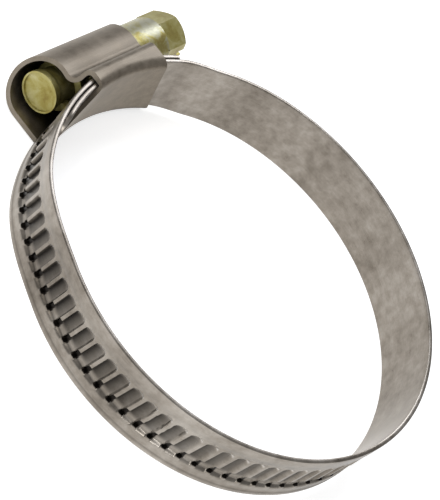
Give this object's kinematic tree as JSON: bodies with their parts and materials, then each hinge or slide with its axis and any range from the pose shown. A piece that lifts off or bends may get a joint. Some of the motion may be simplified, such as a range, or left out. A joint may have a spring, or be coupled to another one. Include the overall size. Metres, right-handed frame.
{
  "type": "worm drive hose clamp",
  "caption": "Worm-drive hose clamp: slotted round band, wrapped sheet housing and a hex-head worm screw that draws the free end through.",
  "frame": {"origin": "centre of the bore, halfway along the band's width", "axes": "+Z along the bore's axis, +Y through the middle of the housing, +X along the screw towards its hex head"},
  "size_m": [0.0684, 0.0787, 0.0138],
  "materials": {
    "band": "satin stainless strip",
    "housing": "pressed stainless sheet",
    "screw": "yellow passivated zinc"
  },
  "bodies": {
    "clamp": {"housing": "housing", "band_fixed_end": "band"},
    "free_end": {"band_free_end": "band"},
    "screw": {"worm_screw": "screw"}
  },
  "joints": [
    {"name": "screw_turn", "type": "hinge", "parent": "clamp", "child": "screw", "pos_m": [0, 0.0392, -0.00155], "axis": [-1, 0, 0], "range_deg": [0, 720]},
    {"name": "band_travel", "type": "hinge", "parent": "clamp", "child": "free_end", "pos_m": [0, 0, 0], "axis": [0, 0, -1], "range_deg": [0, 8.68]}
  ],
  "couplings": [
    {"joint": "band_travel", "follows": "screw_turn", "ratio": 0.012049}
  ]
}
